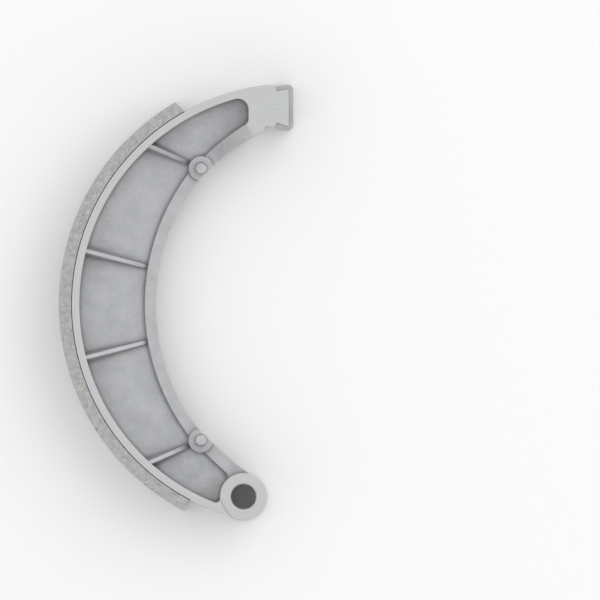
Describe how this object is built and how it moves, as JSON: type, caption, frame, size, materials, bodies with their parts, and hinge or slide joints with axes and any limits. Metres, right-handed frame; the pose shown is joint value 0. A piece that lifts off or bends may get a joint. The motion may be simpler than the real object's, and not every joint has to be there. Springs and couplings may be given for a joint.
{
  "type": "brake shoe",
  "caption": "Crescent drum brake shoe: pocketed alloy casting with gusset ribs, bonded friction lining, pivot eye at one end, steel-capped cam face at the other, and spring pegs.",
  "frame": {"origin": "centre of the pivot bore at the shoe's mid-width", "axes": "+Z along the pivot bore, +Y along the shoe from the pivot eye to the cam end, +X towards the hub, the lining on the -X side"},
  "size_m": [0.1004, 0.1867, 0.03],
  "materials": {
    "cast_alloy": "satin",
    "lining": "matte",
    "slipper_steel": "satin",
    "peg_steel": "satin"
  },
  "bodies": {
    "root": {"shoe_casting": "cast_alloy", "friction_lining": "lining", "cam_slipper": "slipper_steel", "spring_peg_upper": "peg_steel", "spring_peg_lower": "peg_steel"}
  },
  "joints": []
}
